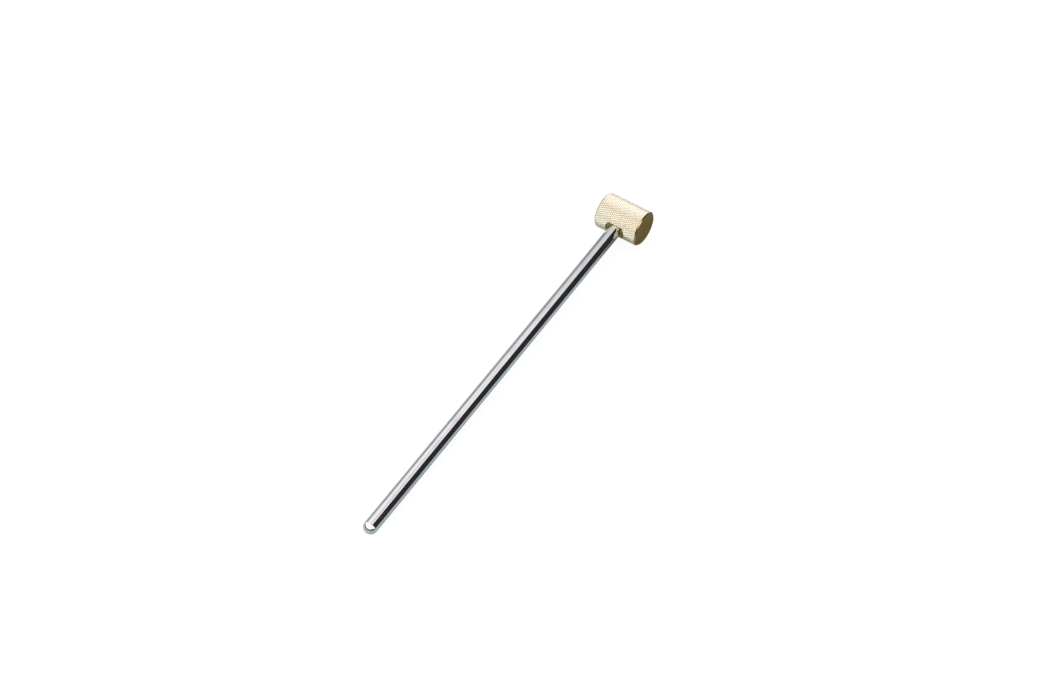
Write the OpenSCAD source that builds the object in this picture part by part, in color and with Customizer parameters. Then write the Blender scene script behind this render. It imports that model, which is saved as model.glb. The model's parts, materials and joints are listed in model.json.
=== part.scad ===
// Small tapping hammer: a knurled brass barrel head on a plated steel rod handle.
// It lies at rest on a level surface: the barrel and the round butt of the rod
// both touch Z = 0, the head is at the +X end and the barrel's axis runs along Y.

/* [Head] */
// Diameter of the barrel over the crests of its knurl
head_d = 21.4; // [18:0.1:26]
// Length of the barrel from one striking face to the other
head_len = 28; // [24:0.5:36]
// Width of the turned bevel round each striking face
face_bevel = 0.8; // [0.3:0.1:1.2]
// Diameter of the flat counterbore that the rod enters through
seat_d = 12.7; // [11:0.1:14]
// Depth of the counterbore's floor below the barrel's side
seat_depth = 1.2; // [0.8:0.1:2]

/* [Rod] */
// Diameter of the rod
rod_d = 8; // [7:0.1:9]
// Distance from the barrel's axis to the tip of the rod's round butt
reach = 247; // [180:1:320]

/* [Thread] */
// Major diameter of the thread on the rod's upper end
thread_d = 6; // [5:0.5:6]
// Pitch of the thread
thread_pitch = 1; // [0.8:0.1:1.25]
// Length of the threaded end past the rod's shoulder
thread_len = 12; // [8:0.5:13]
// Gap all round between the two halves of the thread
thread_gap = 0.08; // [0.05:0.01:0.12]

/* [Hidden] */

$fn = 96;
head_r = head_d / 2;
rod_r = rod_d / 2;
thread_r = thread_d / 2;
thread_depth = 0.54 * thread_pitch;      // height of a 60 degree form with flat tips
shoulder = head_r - seat_depth;          // barrel's axis to the counterbore's floor
edge_break = 0.3;                        // small bevel on the rod's shoulder
lead_in = 0.5;                           // bevels on the thread's end and mouth
drill_past = 1.5;                        // plain drilled depth past the thread's end
relief_len = 1.2;                        // plain neck between the shoulder and the thread
brass = "#d8cb98";
steel = "#c3c9cc";

// How it lies: the round butt touches the surface, so the rod slopes down to it.
butt_x = reach - rod_r;                  // barrel's axis to the centre of the round butt
slope = asin((head_r - rod_r) / butt_x);
level_run = butt_x * cos(slope);
head_x = (level_run + rod_r - head_r) / 2;

// Puts a shape that is drawn along -Z from the barrel's centre into its resting place.
module at_rest() {
    translate([head_x, 0, head_r]) rotate([0, 90 - slope, 0]) children();
}

// Outline of one ring-grooved thread flank, from the shoulder side to its end, as [radius, depth].
function thread_outline(r, from, turns) = [
    for (i = [0 : turns - 1], k = [0 : 3])
        let (z = from + i * thread_pitch)
            k == 0 ? [r, z]
            : k == 1 ? [r, z + 0.15 * thread_pitch]
            : k == 2 ? [r - thread_depth, z + 0.46 * thread_pitch]
            : [r - thread_depth, z + 0.69 * thread_pitch]
];

// Threaded stud, drawn from depth 0 at the shoulder to thread_len; grow widens it for the hole.
module stud(grow) {
    turns = floor((thread_len - relief_len - lead_in) / thread_pitch);
    start = relief_len;
    end = start + turns * thread_pitch;
    rotate_extrude()
        polygon(concat(
            [[0, 0], [thread_r - thread_depth + grow, 0]],
            [[thread_r - thread_depth + grow, start]],
            [for (p = thread_outline(thread_r, start, turns)) [p[0] + grow, p[1]]],
            [[thread_r + grow, end], [thread_r - lead_in + grow, thread_len]],
            [[0, thread_len]]
        ));
}

module barrel_blank() {
    rotate([90, 0, 0]) rotate_extrude()
        polygon([
            [0, -head_len / 2],
            [head_r - face_bevel, -head_len / 2],
            [head_r, -head_len / 2 + face_bevel],
            [head_r, head_len / 2 - face_bevel],
            [head_r - face_bevel, head_len / 2],
            [0, head_len / 2]
        ]);
}

// Everything cut from the barrel for the rod, along the rod's own axis.
module rod_socket() {
    translate([0, 0, -head_r - 1]) cylinder(d = seat_d, h = seat_depth + 1);
    translate([0, 0, -shoulder]) {
        stud(thread_gap);
        cylinder(r = thread_r + thread_gap, h = relief_len);
        cylinder(r = thread_r - thread_depth + thread_gap, h = thread_len + drill_past);
    }
}

module barrel_head() {
    color(brass) at_rest() difference() {
        barrel_blank();
        rod_socket();
    }
}

module rod_handle() {
    color(steel) at_rest() {
        translate([0, 0, -shoulder]) stud(0);
        translate([0, 0, -butt_x]) cylinder(r = rod_r, h = butt_x - shoulder - edge_break);
        translate([0, 0, -shoulder - edge_break])
            cylinder(r1 = rod_r, r2 = rod_r - edge_break, h = edge_break);
        translate([0, 0, -butt_x]) sphere(r = rod_r);
    }
}

barrel_head();
rod_handle();
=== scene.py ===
import json
import math
import bmesh
import bpy
from mathutils import Matrix, Vector


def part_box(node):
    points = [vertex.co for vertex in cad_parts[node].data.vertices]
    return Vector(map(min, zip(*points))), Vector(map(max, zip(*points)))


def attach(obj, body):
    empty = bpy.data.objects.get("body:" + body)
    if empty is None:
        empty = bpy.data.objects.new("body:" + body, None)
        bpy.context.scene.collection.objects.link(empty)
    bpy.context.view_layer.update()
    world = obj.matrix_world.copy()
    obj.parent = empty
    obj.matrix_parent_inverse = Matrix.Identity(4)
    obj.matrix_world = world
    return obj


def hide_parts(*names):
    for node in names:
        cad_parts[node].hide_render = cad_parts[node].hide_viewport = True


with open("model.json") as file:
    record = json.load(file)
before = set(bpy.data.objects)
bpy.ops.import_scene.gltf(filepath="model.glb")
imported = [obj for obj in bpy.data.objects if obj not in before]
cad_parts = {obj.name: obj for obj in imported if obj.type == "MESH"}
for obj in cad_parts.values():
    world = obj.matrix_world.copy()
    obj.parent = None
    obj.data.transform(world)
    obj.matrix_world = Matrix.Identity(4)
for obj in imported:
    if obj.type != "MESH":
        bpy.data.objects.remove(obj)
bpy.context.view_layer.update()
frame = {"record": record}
scene = bpy.context.scene
mm = 0.001
mergeGap = 0.001 * mm  # points closer than this are one point
shoulderBreak = 0.3 * mm  # small bevel on the rod's shoulder

# Where the two pieces lie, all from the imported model
barrelLow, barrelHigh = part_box("barrel_head")
barrelCentre = (barrelLow + barrelHigh) / 2
barrelRadius = (barrelHigh.z - barrelLow.z) / 2
barrelLength = barrelHigh.y - barrelLow.y

shank = next(m for m in frame["record"]["mounts"] if m["name"] == "handle_shank")
rodAxis = Vector(shank["axis"]).normalized()  # from the head towards the butt
rodRadius = shank["dims"]["r_mm"] * mm
shankMiddle = (Vector(shank["pos_m"]) - barrelCentre).dot(rodAxis)
shankHalf = shank["dims"]["length_mm"] * mm / 2
buttDepth = shankMiddle + shankHalf  # barrel's axis to the centre of the round butt
shoulderDepth = shankMiddle - shankHalf - shoulderBreak

# Both pieces are drawn with the rod running down -Z and the barrel along Y, then laid down.
layDown = (
    Matrix.Translation(barrelCentre)
    @ Vector((0, 0, -1)).rotation_difference(rodAxis).to_matrix().to_4x4()
)


def makeCamera():
    view = {
        "aim": (0.01205, -0.0033, 0.006),
        "azimuth": -52.0,
        "elevation": 53.81,
        "distance": 1.024,
        "roll": -3.98,
        "lens": 63.16,
        "sensorWidth": 36,
        "clipStart": 0.01,
    }
    azimuth = math.radians(view["azimuth"])
    elevation = math.radians(view["elevation"])
    back = Vector((
        math.sin(azimuth) * math.cos(elevation),
        -math.cos(azimuth) * math.cos(elevation),
        math.sin(elevation),
    ))
    data = bpy.data.cameras.new("camera")
    data.lens = view["lens"]
    data.sensor_width = view["sensorWidth"]
    data.clip_start = view["clipStart"]
    camera = bpy.data.objects.new("camera", data)
    turn = back.to_track_quat("Z", "Y").to_matrix().to_4x4()
    place = Matrix.Translation(Vector(view["aim"]) + back * view["distance"])
    camera.matrix_world = place @ turn @ Matrix.Rotation(math.radians(view["roll"]), 4, "Z")
    scene.collection.objects.link(camera)
    scene.camera = camera


makeCamera()
print("camera placed")


def linear(hexColour):
    # sRGB hex to linear RGBA
    parts = [int(hexColour[i : i + 2], 16) / 255 for i in (1, 3, 5)]
    return [c / 12.92 if c <= 0.04045 else ((c + 0.055) / 1.055) ** 2.4 for c in parts] + [1]


def addNode(tree, kind, settings=None, links=None):
    # a setting is an input's value, by name or index, or an option of the node;
    # a link gives the socket that feeds an input
    node = tree.nodes.new(kind)
    for name, value in (settings or {}).items():
        if isinstance(name, int) or name in node.inputs:
            node.inputs[name].default_value = value
        else:
            setattr(node, name, value)
    for name, socket in (links or {}).items():
        tree.links.new(socket, node.inputs[name])
    return node


def newMaterial(name):
    material = bpy.data.materials.new(name)
    material.use_nodes = True
    tree = material.node_tree
    tree.nodes.clear()
    output = tree.nodes.new("ShaderNodeOutputMaterial")
    return material, tree, output


def barrelPlace(tree):
    # object coordinates seen from the barrel's own centre, its axis along Y
    place = addNode(tree, "ShaderNodeTexCoord")
    centred = addNode(tree, "ShaderNodeMapping", {"Location": -barrelCentre}, {
        "Vector": place.outputs["Object"]})
    return centred.outputs[0]


def knurledBrass(knurl):
    # Yellow brass, rolled and clear lacquered, its colours painted paler than brass as painted
    # highlight: burnished crests whitened further by painted highlight, over duller grooves darkened
    # with painted shade.
    look = {
        # crest and flank are painted much paler than brass, a painted highlight for strong light
        "crest": "#FFFCF1",
        "flank": "#FBF5E3",
        "paintedGrooveShade": "#A8925C",
        "crestRoughness": 0.3,
        "grooveRoughness": 0.42,
        "grooveShadeWidth": 0.35,  # share of the knurl's depth that the painted groove shade fills
        "rubbedAndHighlight": (0.45, 0.05),  # shares of the depth below the crest, from unrubbed to burnished, with painted highlight on the burnished crests
        "cloud": 5 * mm,  # size of the soft patches left by handling
        "cloudRange": (0.3, 0.7),
        "leastWorn": 0.75,
        "grain": 0.12 * mm,
        "grainHeight": 0.01 * mm,
    }
    material, tree, output = newMaterial("knurledBrass")
    place = barrelPlace(tree)
    flat = addNode(tree, "ShaderNodeVectorMath", {"operation": "MULTIPLY", 1: (1, 0, 1)}, {0: place})
    outwards = addNode(tree, "ShaderNodeVectorMath", {"operation": "LENGTH"}, {0: flat.outputs[0]})
    valley, crest = barrelRadius - knurl["depth"], barrelRadius
    # painted shade: the grooves are darkened as if shaded in the knurl's hollows
    grooveShadeMask = addNode(tree, "ShaderNodeMapRange", {
        "From Min": valley,
        "From Max": valley + look["grooveShadeWidth"] * knurl["depth"]}, {
        "Value": outwards.outputs["Value"]})
    high = addNode(tree, "ShaderNodeMapRange", {
        "From Min": crest - look["rubbedAndHighlight"][0] * knurl["depth"],
        "From Max": crest - look["rubbedAndHighlight"][1] * knurl["depth"]}, {
        "Value": outwards.outputs["Value"]})
    cloud = addNode(tree, "ShaderNodeTexNoise", {
        "Scale": 1 / look["cloud"], "Detail": 3.0, "Roughness": 0.6}, {"Vector": place})
    worn = addNode(tree, "ShaderNodeMapRange", {
        "From Min": look["cloudRange"][0], "From Max": look["cloudRange"][1],
        "To Min": look["leastWorn"]}, {"Value": cloud.outputs["Fac"]})
    rubbedAndHighlight = addNode(tree, "ShaderNodeMath", {"operation": "MULTIPLY"}, {
        0: high.outputs[0], 1: worn.outputs[0]})
    # the crests are burnished wear and painted highlight, paler than the flanks
    raised = addNode(tree, "ShaderNodeMix", {
        "data_type": "RGBA", 6: linear(look["flank"]), 7: linear(look["crest"])}, {
        0: rubbedAndHighlight.outputs[0]})
    # the painted groove shade is laid over the crests and flanks
    colour = addNode(tree, "ShaderNodeMix", {"data_type": "RGBA", 6: linear(look["paintedGrooveShade"])}, {
        0: grooveShadeMask.outputs[0], 7: raised.outputs[2]})
    rough = addNode(tree, "ShaderNodeMapRange", {
        "To Min": look["grooveRoughness"], "To Max": look["crestRoughness"]}, {
        "Value": rubbedAndHighlight.outputs[0]})
    grain = addNode(tree, "ShaderNodeTexNoise", {
        "Scale": 1 / look["grain"], "Detail": 2.0}, {"Vector": place})
    bump = addNode(tree, "ShaderNodeBump", {"Strength": 0.25, "Distance": look["grainHeight"]}, {
        "Height": grain.outputs["Fac"]})
    shader = addNode(tree, "ShaderNodeBsdfPrincipled", {"Metallic": 1}, {
        "Base Color": colour.outputs[2], "Roughness": rough.outputs[0], "Normal": bump.outputs[0]})
    tree.links.new(shader.outputs[0], output.inputs["Surface"])
    return material


def turnedBrass():
    # The same brass faced off in a lathe: fine rings round the axis, a smooth low sheen.
    look = {
        "bright": "#E6D7A6",
        "dull": "#D2BC82",
        "roughness": (0.2, 0.32),
        "feed": 0.24 * mm,  # the real feed is about 0.1 mm, too fine to show
        "ringHeight": 0.004 * mm,
        "cloud": 6 * mm,
        "cloudRange": (0.35, 0.65),
    }
    material, tree, output = newMaterial("turnedBrass")
    place = barrelPlace(tree)
    # at scale 1 this texture draws a ring every pi / 10 units
    rings = addNode(tree, "ShaderNodeTexWave", {
        "wave_type": "RINGS", "rings_direction": "Y", "Scale": math.pi / 10 / look["feed"],
        "Distortion": 0.6, "Detail": 1.0}, {"Vector": place})
    cloud = addNode(tree, "ShaderNodeTexNoise", {
        "Scale": 1 / look["cloud"], "Detail": 4.0, "Roughness": 0.65}, {"Vector": place})
    patch = addNode(tree, "ShaderNodeMapRange", {
        "From Min": look["cloudRange"][0], "From Max": look["cloudRange"][1]}, {
        "Value": cloud.outputs["Fac"]})
    colour = addNode(tree, "ShaderNodeMix", {
        "data_type": "RGBA", 6: linear(look["bright"]), 7: linear(look["dull"])}, {
        0: patch.outputs[0]})
    rough = addNode(tree, "ShaderNodeMapRange", {
        "To Min": look["roughness"][0], "To Max": look["roughness"][1]}, {"Value": patch.outputs[0]})
    bump = addNode(tree, "ShaderNodeBump", {"Strength": 0.3, "Distance": look["ringHeight"]}, {
        "Height": rings.outputs["Fac"]})
    shader = addNode(tree, "ShaderNodeBsdfPrincipled", {"Metallic": 1}, {
        "Base Color": colour.outputs[2], "Roughness": rough.outputs[0], "Normal": bump.outputs[0]})
    tree.links.new(shader.outputs[0], output.inputs["Surface"])
    return material


def platedSteel():
    # Bright chromium plating over drawn bar: a cool mirror with faint marks along its length.
    look = {
        "clean": "#D9D9DA",
        "hazed": "#C9CACD",
        "roughness": (0.05, 0.14),
        "lineWidth": 0.35 * mm,  # drawing marks, drawn about twice as wide as they are
        "lineLength": 30 * mm,
        "lineHeight": 0.01 * mm,
        "cloud": 9 * mm,
        "hazeRange": (0.22, 0.4),
    }
    material, tree, output = newMaterial("platedSteel")
    place = addNode(tree, "ShaderNodeTexCoord")
    along = addNode(tree, "ShaderNodeMapping", {
        "vector_type": "TEXTURE", "Location": barrelCentre, "Rotation": layDown.to_euler(),
        "Scale": (look["lineWidth"], look["lineWidth"], look["lineLength"])}, {
        "Vector": place.outputs["Object"]})
    lines = addNode(tree, "ShaderNodeTexNoise", {"Scale": 1.0, "Detail": 3.0, "Roughness": 0.6}, {
        "Vector": along.outputs[0]})
    cloud = addNode(tree, "ShaderNodeTexNoise", {
        "Scale": 1 / look["cloud"], "Detail": 4.0}, {"Vector": place.outputs["Object"]})
    both = addNode(tree, "ShaderNodeMath", {"operation": "MULTIPLY"}, {
        0: lines.outputs["Fac"], 1: cloud.outputs["Fac"]})
    haze = addNode(tree, "ShaderNodeMapRange", {
        "From Min": look["hazeRange"][0], "From Max": look["hazeRange"][1]}, {
        "Value": both.outputs[0]})
    colour = addNode(tree, "ShaderNodeMix", {
        "data_type": "RGBA", 6: linear(look["clean"]), 7: linear(look["hazed"])}, {
        0: haze.outputs[0]})
    rough = addNode(tree, "ShaderNodeMapRange", {
        "To Min": look["roughness"][0], "To Max": look["roughness"][1]}, {"Value": haze.outputs[0]})
    bump = addNode(tree, "ShaderNodeBump", {"Strength": 0.12, "Distance": look["lineHeight"]}, {
        "Height": lines.outputs["Fac"]})
    shader = addNode(tree, "ShaderNodeBsdfPrincipled", {"Metallic": 1}, {
        "Base Color": colour.outputs[2], "Roughness": rough.outputs[0], "Normal": bump.outputs[0]})
    tree.links.new(shader.outputs[0], output.inputs["Surface"])
    return material


def toMesh(bm, name, finishes):
    mesh = bpy.data.meshes.new(name)
    bm.to_mesh(mesh)
    bm.free()
    for material in finishes:
        mesh.materials.append(material)
    return mesh


def addPiece(name, mesh, sharpAngle, node):
    # lays a drawn mesh down and makes it a finished piece
    mesh.transform(layDown)
    mesh.shade_smooth()
    mesh.set_sharp_from_angle(angle=math.radians(sharpAngle))
    piece = bpy.data.objects.new(name, mesh)
    scene.collection.objects.link(piece)
    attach(piece, "root")
    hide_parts(node)
    return piece


def spunShape(name, profile, steps, finishes, finish=0):
    # turns a profile of (radius, height) points about Z into a closed solid
    bm = bmesh.new()
    points = [bm.verts.new((radius, 0, height)) for radius, height in profile]
    for first, second in zip(points, points[1:]):
        bm.edges.new((first, second))
    bmesh.ops.spin(bm, geom=bm.verts[:] + bm.edges[:], cent=(0, 0, 0), axis=(0, 0, 1),
                   angle=2 * math.pi, steps=steps, use_merge=True)
    bmesh.ops.remove_doubles(bm, verts=bm.verts, dist=mergeGap)
    bmesh.ops.recalc_face_normals(bm, faces=bm.faces)
    for face in bm.faces:
        face.material_index = finish
    return toMesh(bm, name, finishes)


def cutWith(body, cutter, operation):
    # one exact boolean, applied at once; a cut face keeps its cutter's finish
    tool = bpy.data.objects.new("tool", cutter)
    work = bpy.data.objects.new("work", body)
    scene.collection.objects.link(tool)
    scene.collection.objects.link(work)
    modifier = work.modifiers.new("cut", "BOOLEAN")
    modifier.object = tool
    modifier.operation = operation
    modifier.solver = "EXACT"
    evaluated = work.evaluated_get(bpy.context.evaluated_depsgraph_get())
    result = bpy.data.meshes.new_from_object(evaluated)
    bpy.data.objects.remove(work)
    bpy.data.objects.remove(tool)
    return result


def knurledSleeve(knurl, finishes):
    # a solid bar with a diamond knurl all over its side, its axis along Z
    along = math.ceil(barrelLength / knurl["pitchAlong"]) + 1
    valley = barrelRadius - knurl["depth"]
    bm = bmesh.new()
    bmesh.ops.create_grid(bm, x_segments=knurl["teethAround"], y_segments=along, size=0.5)
    gridVerts = set(bm.verts)
    bmesh.ops.poke(bm, faces=bm.faces[:])
    for vert in bm.verts:  # the flat grid is rolled into a tube
        turn = (vert.co.x + 0.5) * 2 * math.pi
        height = vert.co.y * along * knurl["pitchAlong"]
        vert.co = (valley * math.cos(turn), valley * math.sin(turn), height)
    # with the grid's own edges dissolved, the poked triangles join up as diamonds
    straight = [e for e in bm.edges if e.verts[0] in gridVerts and e.verts[1] in gridVerts]
    bmesh.ops.remove_doubles(bm, verts=bm.verts, dist=mergeGap)
    straight = [e for e in straight if e.is_valid and len(e.link_faces) == 2]
    bmesh.ops.dissolve_edges(bm, edges=straight, use_verts=False)
    diamonds = [f for f in bm.faces if len(f.verts) == 4]
    bmesh.ops.recalc_face_normals(bm, faces=bm.faces)
    bmesh.ops.inset_individual(bm, faces=diamonds, thickness=knurl["flank"],
                               depth=knurl["depth"], use_even_offset=True)
    for vert in {v for f in diamonds for v in f.verts}:  # each crest comes out to the full radius
        flat = math.hypot(vert.co.x, vert.co.y)
        vert.co.x *= barrelRadius / flat
        vert.co.y *= barrelRadius / flat
    rims = [e for e in bm.edges if len(e.link_faces) == 1]
    bmesh.ops.edgeloop_fill(bm, edges=rims)
    bmesh.ops.recalc_face_normals(bm, faces=bm.faces)
    return toMesh(bm, "sleeve", finishes)


def threadProfile(base, grow):
    # half outline of the thread from the rod's shoulder inwards; grow widens it for the hole
    thread = {
        "radius": 3 * mm,
        "pitch": 1 * mm,
        "depth": 0.54 * mm,
        "neck": 1.2 * mm,  # plain length next to the shoulder
        "turns": 10,
        "length": 12 * mm,
        "leadIn": 0.5 * mm,
        "form": (0.15, 0.46, 0.69),  # shares of a pitch to the crest's end and the root's two ends
    }
    crest = thread["radius"] + grow
    root = crest - thread["depth"]
    points = []
    for turn in range(thread["turns"]):
        start = base + thread["neck"] + turn * thread["pitch"]
        crestEnd, rootStart, rootEnd = (start + share * thread["pitch"] for share in thread["form"])
        points += [(crest, start), (crest, crestEnd), (root, rootStart), (root, rootEnd)]
    points.append((crest, base + thread["neck"] + thread["turns"] * thread["pitch"]))
    points.append((crest - thread["leadIn"], base + thread["length"]))
    return root, points


def makeBarrel():
    head = {
        "bevel": 0.8 * mm,
        "seatRadius": 6.35 * mm,
        "threadGap": 0.08 * mm,
        "holeDepth": 13.5 * mm,
        "endSteps": 192,
        "socketSteps": 96,
        "sharpAngle": 24,
        "spare": 2 * mm,  # how far the cutters stand clear of the side
    }
    knurl = {"teethAround": 51, "pitchAlong": 2.26 * mm, "depth": 0.3 * mm, "flank": 0.34 * mm}
    finishes = [knurledBrass(knurl), turnedBrass()]
    half, radius = barrelLength / 2, barrelRadius
    bevel, spare = head["bevel"], head["spare"]
    ends = spunShape("ends", [
        (0, -half), (radius - bevel, -half), (radius + spare, -half + bevel + spare),
        (radius + spare, half - bevel - spare), (radius - bevel, half), (0, half),
    ], head["endSteps"], finishes, 1)
    sleeve = cutWith(knurledSleeve(knurl, finishes), ends, "INTERSECT")
    sleeve.transform(Matrix.Rotation(math.pi / 2, 4, "X"))
    seat = -shoulderDepth
    drill, thread = threadProfile(seat, head["threadGap"])
    mouth, threadEnd, bottom = thread[0][0], thread[-1][1], seat + head["holeDepth"]
    socket = spunShape("socket", [
        (0, -radius - spare), (head["seatRadius"], -radius - spare), (head["seatRadius"], seat),
        (mouth, seat), *thread, (drill, threadEnd), (drill, bottom), (0, bottom),
    ], head["socketSteps"], finishes, 1)
    sleeve = cutWith(sleeve, socket, "DIFFERENCE")
    return addPiece("knurledBarrel", sleeve, head["sharpAngle"], "barrel_head")


def makeRod():
    rod = {
        "steps": 128,
        "buttArcs": 24,
        "rings": 24,  # bands along the side, so that no face is a sliver as long as the rod
        "sharpAngle": 30,
    }
    arc = [math.radians(90 * i / rod["buttArcs"]) for i in range(rod["buttArcs"] + 1)]
    butt = [(rodRadius * math.sin(a), -buttDepth - rodRadius * math.cos(a)) for a in arc]
    plain = buttDepth - (shoulderDepth + shoulderBreak)
    side = [
        (rodRadius, -buttDepth + plain * i / rod["rings"]) for i in range(1, rod["rings"] + 1)
    ]
    neck, thread = threadProfile(-shoulderDepth, 0)
    shoulder = [
        (rodRadius - shoulderBreak, -shoulderDepth), (neck, -shoulderDepth), (neck, thread[0][1]),
    ]
    end = [(0, thread[-1][1])]
    mesh = spunShape("rod", butt + side + shoulder + thread + end, rod["steps"], [platedSteel()])
    return addPiece("platedRod", mesh, rod["sharpAngle"], "rod_handle")


barrel = makeBarrel()
print("barrel made:", len(barrel.data.polygons), "faces")
rod = makeRod()
print("rod made:", len(rod.data.polygons), "faces")

darkCloth = "#32302F"  # the near side of the studio, in the room and on the floor


def stageCard(name, shape, place, material, lights=False):
    # a studio card that shows in reflections and is never seen itself
    card = bpy.data.objects.new(name, toMesh(shape, name, [material]))
    card.matrix_world = place
    card.visible_camera = False
    card.visible_shadow = False
    card.visible_diffuse = lights
    scene.collection.objects.link(card)


def sheetShape(width, depth):
    bm = bmesh.new()
    bmesh.ops.create_grid(bm, x_segments=1, y_segments=1, size=0.5)
    bmesh.ops.scale(bm, verts=bm.verts, vec=(width, depth, 1))
    return bm


def discShape(radius, sides=96):
    bm = bmesh.new()
    bmesh.ops.create_circle(bm, cap_ends=True, segments=sides, radius=radius)
    return bm


def glowing(name, hexColour):
    material, tree, output = newMaterial(name)
    glow = addNode(tree, "ShaderNodeEmission", {"Color": linear(hexColour)})
    tree.links.new(glow.outputs[0], output.inputs["Surface"])
    return material


def makeFloor():
    # near-white to the eye; a blue-grey white paper to the metal, which keeps its edges drawn
    ground = {
        "shown": "#FFFFFF",
        "shownPower": 0.93,
        "shadowed": 0.1,  # how much of the real light is seen on it, for the faintest shadow
        "reflected": "#CBD9DF",
        "size": 8,
        "height": -0.05 * mm,
    }
    material, tree, output = newMaterial("paleFloor")
    path = addNode(tree, "ShaderNodeLightPath")
    paper = addNode(tree, "ShaderNodeBsdfDiffuse", {"Color": linear(ground["reflected"])})
    faint = addNode(tree, "ShaderNodeBsdfDiffuse", {"Color": [ground["shadowed"]] * 3 + [1]})
    glow = addNode(tree, "ShaderNodeEmission", {
        "Color": linear(ground["shown"]), "Strength": ground["shownPower"]})
    white = addNode(tree, "ShaderNodeAddShader", None, {0: faint.outputs[0], 1: glow.outputs[0]})
    both = addNode(tree, "ShaderNodeMixShader", None, {
        "Fac": path.outputs["Is Camera Ray"], 1: paper.outputs[0], 2: white.outputs[0]})
    tree.links.new(both.outputs[0], output.inputs["Surface"])
    sheet = sheetShape(ground["size"], ground["size"])
    floor = bpy.data.objects.new("floor", toMesh(sheet, "floor", [material]))
    floor.location.z = ground["height"]
    scene.collection.objects.link(floor)


def softPart(tree, way, edges):
    # 1 where a direction is past every edge, fading to 0 before it
    inside = None
    for axis, start, full in edges:
        past = addNode(tree, "ShaderNodeMapRange", {"From Min": start, "From Max": full}, {
            "Value": way.outputs[axis]})
        if inside:
            past = addNode(tree, "ShaderNodeMath", {"operation": "MULTIPLY"}, {
                0: inside.outputs[0], 1: past.outputs[0]})
        inside = past
    return inside.outputs[0]


def makeRoom():
    # beyond the canopy: a dark strip on the near side, grey behind it, white either side
    room = {
        "shown": "#FFFFFF",
        "plain": "#C4CACD",  # what lights the floor
        "white": "#FFFDF8",
        "whitePower": 1.42,
        "grey": "#98A1A6",
        "skirting": "#37332C",
        # a part's edges: the axis of a direction, where the edge starts and where it is full
        "strip": [("X", 0.2, 0.25), ("X", 0.62, 0.56)],
        "stripOnRight": [("X", 0.2, 0.25), ("Y", -0.32, -0.4)],
        "nearSide": [("Y", -0.1, -0.16)],
        "leftSkirting": [("X", -0.1, -0.2), ("Z", 0.36, 0.22)],
        "farCorner": [("X", 0.56, 0.62), ("Y", 0.45, 0.55), ("Z", 0.42, 0.32)],
    }
    world = bpy.data.worlds.new("room")
    scene.world = world
    world.use_nodes = True
    tree = world.node_tree
    tree.nodes.clear()
    place = addNode(tree, "ShaderNodeTexCoord")
    way = addNode(tree, "ShaderNodeSeparateXYZ", None, {"Vector": place.outputs["Generated"]})
    strip = addNode(tree, "ShaderNodeMath", {"operation": "MAXIMUM"}, {
        0: softPart(tree, way, room["strip"]), 1: softPart(tree, way, room["stripOnRight"])})
    darkPart = addNode(tree, "ShaderNodeMath", {"operation": "MULTIPLY"}, {
        0: strip.outputs[0], 1: softPart(tree, way, room["nearSide"])})
    lowParts = addNode(tree, "ShaderNodeMath", {"operation": "MAXIMUM"}, {
        0: softPart(tree, way, room["leftSkirting"]), 1: softPart(tree, way, room["farCorner"])})
    colour = addNode(tree, "ShaderNodeMix", {
        "data_type": "RGBA", 6: linear(room["white"]), 7: linear(room["grey"])}, {
        0: strip.outputs[0]})
    colour = addNode(tree, "ShaderNodeMix", {"data_type": "RGBA", 7: linear(darkCloth)}, {
        0: darkPart.outputs[0], 6: colour.outputs[2]})
    colour = addNode(tree, "ShaderNodeMix", {"data_type": "RGBA", 7: linear(room["skirting"])}, {
        0: lowParts.outputs[0], 6: colour.outputs[2]})
    power = addNode(tree, "ShaderNodeMapRange", {"To Min": room["whitePower"], "To Max": 1}, {
        "Value": strip.outputs[0]})
    path = addNode(tree, "ShaderNodeLightPath")
    plain = addNode(tree, "ShaderNodeBackground", {"Color": linear(room["plain"])})
    walls = addNode(tree, "ShaderNodeBackground", None, {
        "Color": colour.outputs[2], "Strength": power.outputs[0]})
    shown = addNode(tree, "ShaderNodeBackground", {"Color": linear(room["shown"])})
    lit = addNode(tree, "ShaderNodeMixShader", None, {
        "Fac": path.outputs["Is Glossy Ray"], 1: plain.outputs[0], 2: walls.outputs[0]})
    both = addNode(tree, "ShaderNodeMixShader", None, {
        "Fac": path.outputs["Is Camera Ray"], 1: lit.outputs[0], 2: shown.outputs[0]})
    addNode(tree, "ShaderNodeOutputWorld", None, {"Surface": both.outputs[0]})


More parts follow.
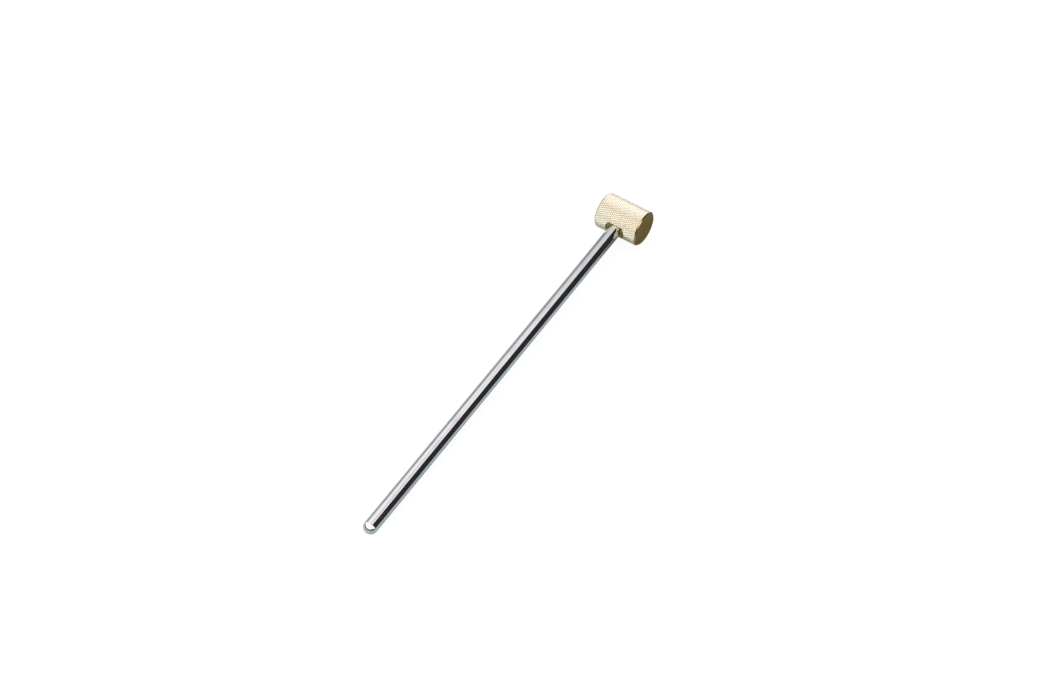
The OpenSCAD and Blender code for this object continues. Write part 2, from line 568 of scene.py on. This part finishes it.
def makeCanopy():
    # a soft overhead sheet: hot on the left, even in the middle, fading to the right, with one seam
    canopy = {
        "colour": "#FFFBFC",
        "radius": 0.83,
        "place": (0.0, 0.546, 0.6),
        "power": 1.27,
        "farPower": 0.86,
        "fade": (0.23, 0.5),  # from its middle to the right, where the power falls to farPower
        "hotPower": 0.4,
        "hot": (-0.25, 0.1),
        "seamWay": (-0.52, 0.854, 0),  # square to the seam
        "seam": -0.522,
        "seamWidth": 0.09,
        "seamDepth": 0.5,
        "seamFade": (0.1, 0.32),
    }
    material, tree, output = newMaterial("canopyGlow")
    place = addNode(tree, "ShaderNodeTexCoord")
    side = addNode(tree, "ShaderNodeSeparateXYZ", None, {"Vector": place.outputs["Object"]})
    fade = addNode(tree, "ShaderNodeMapRange", {
        "From Min": canopy["fade"][0], "From Max": canopy["fade"][1],
        "To Min": canopy["power"], "To Max": canopy["farPower"]}, {"Value": side.outputs["X"]})
    hot = addNode(tree, "ShaderNodeMapRange", {
        "From Min": canopy["hot"][0], "From Max": canopy["hot"][1],
        "To Min": canopy["hotPower"], "To Max": 0}, {"Value": side.outputs["X"]})
    whole = addNode(tree, "ShaderNodeMath", {"operation": "ADD"}, {
        0: fade.outputs[0], 1: hot.outputs[0]})
    beside = addNode(tree, "ShaderNodeVectorMath", {"operation": "DOT_PRODUCT", 1: canopy["seamWay"]}, {
        0: place.outputs["Object"]})
    past = addNode(tree, "ShaderNodeMath", {"operation": "SUBTRACT", 1: canopy["seam"]}, {
        0: beside.outputs["Value"]})
    off = addNode(tree, "ShaderNodeMath", {"operation": "ABSOLUTE"}, {0: past.outputs[0]})
    near = addNode(tree, "ShaderNodeMapRange", {
        "From Min": canopy["seamWidth"] / 2, "From Max": canopy["seamWidth"],
        "To Min": 1, "To Max": 0}, {"Value": off.outputs[0]})
    deep = addNode(tree, "ShaderNodeMapRange", {
        "From Min": canopy["seamFade"][0], "From Max": canopy["seamFade"][1],
        "To Min": canopy["seamDepth"], "To Max": 0}, {"Value": side.outputs["X"]})
    lost = addNode(tree, "ShaderNodeMath", {"operation": "MULTIPLY"}, {
        0: near.outputs[0], 1: deep.outputs[0]})
    power = addNode(tree, "ShaderNodeMath", {"operation": "SUBTRACT"}, {
        0: whole.outputs[0], 1: lost.outputs[0]})
    glow = addNode(tree, "ShaderNodeEmission", {"Color": linear(canopy["colour"])}, {
        "Strength": power.outputs[0]})
    tree.links.new(glow.outputs[0], output.inputs["Surface"])
    stageCard("canopy", discShape(canopy["radius"]), Matrix.Translation(canopy["place"]), material,
              lights=True)


def makeDarkFoot():
    # a dark cloth along the near side of the rod, turned a little
    foot = {
        "left": -0.12,
        "gap": 0.026,
        "height": 0.2 * mm,
        "width": 2.4,
        "depth": 1.6,
        "turn": -4.4,
        "turnsAt": 0.1,  # how far from its left end it is turned
    }
    place = (
        Matrix.Translation((foot["left"], -foot["gap"], foot["height"]))
        @ Matrix.Rotation(math.radians(foot["turn"]), 4, "Z")
        @ Matrix.Translation((foot["width"] / 2 - foot["turnsAt"], -foot["depth"] / 2, 0))
    )
    stageCard("darkFoot", sheetShape(foot["width"], foot["depth"]), place,
              glowing("darkCloth", darkCloth))


def makeHeadShade():
    # a round dark pool that fades out: painted shadow where the head meets the floor, seen only in
    # reflections
    shade = {
        "colour": "#706652",
        "full": 0.019,
        "none": 0.038,
        "stretch": 1.3,
        "right": 0.006,
        "height": 0.4 * mm,
    }
    material, tree, output = newMaterial("softShade")
    place = addNode(tree, "ShaderNodeTexCoord")
    shaped = addNode(tree, "ShaderNodeVectorMath", {
        "operation": "DIVIDE", 1: (1, shade["stretch"], 1)}, {0: place.outputs["Object"]})
    distance = addNode(tree, "ShaderNodeVectorMath", {"operation": "LENGTH"}, {0: shaped.outputs[0]})
    clear = addNode(tree, "ShaderNodeMapRange", {
        "From Min": shade["full"], "From Max": shade["none"]}, {"Value": distance.outputs["Value"]})
    dark = addNode(tree, "ShaderNodeEmission", {"Color": linear(shade["colour"])})
    nothing = addNode(tree, "ShaderNodeBsdfTransparent")
    both = addNode(tree, "ShaderNodeMixShader", None, {
        "Fac": clear.outputs[0], 1: dark.outputs[0], 2: nothing.outputs[0]})
    tree.links.new(both.outputs[0], output.inputs["Surface"])
    stageCard("headShade", discShape(shade["none"] * shade["stretch"]),
              Matrix.Translation((barrelCentre.x + shade["right"], 0, shade["height"])), material)


def makeFarShade():
    # a dark card on the floor beyond the head: painted shadow of the head, seen only in reflections
    beyond = {
        "colour": "#1E180C",
        "width": 0.236,
        "depth": 0.202,
        "right": 0.144,
        "behind": 0.066,
        "height": 0.6 * mm,
    }
    place = Matrix.Translation((barrelCentre.x + beyond["right"], beyond["behind"], beyond["height"]))
    stageCard("farShade", sheetShape(beyond["width"], beyond["depth"]), place,
              glowing("farShade", beyond["colour"]))


scene.view_settings.view_transform = "Standard"
makeFloor()
makeRoom()
makeCanopy()
makeDarkFoot()
makeHeadShade()
makeFarShade()
print("studio lit")
